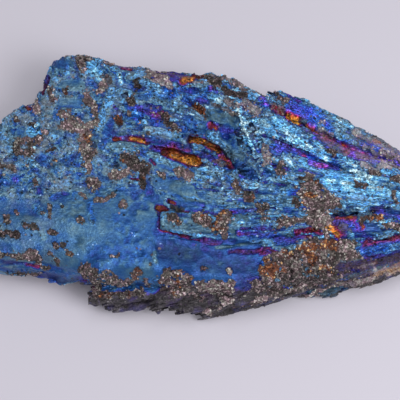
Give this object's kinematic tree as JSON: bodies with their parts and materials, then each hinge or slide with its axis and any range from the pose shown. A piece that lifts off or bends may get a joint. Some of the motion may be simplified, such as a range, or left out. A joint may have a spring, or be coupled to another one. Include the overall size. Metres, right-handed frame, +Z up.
{
  "type": "rainbow kyanite specimen",
  "caption": "Fan of flat kyanite laths grown together with gritty matrix patches and an iridescent metal film; lies on its flat base as a display specimen.",
  "frame": {"origin": "middle of the stone's footprint, on the surface that it lies on", "axes": "+X along the fan from the broken wide end to the root; +Z up, out of the broad face; +Y towards the rear edge"},
  "size_m": [0.093, 0.0514, 0.0164],
  "materials": {
    "titanium_film": "semi-gloss iridescent metal-oxide film: steel blue to cyan on the faces, deep blue, purple, red and gold in the recesses, over striated kyanite with rough brown-grey grit patches"
  },
  "bodies": {
    "root": {"kyanite_cluster": "titanium_film"}
  },
  "joints": []
}
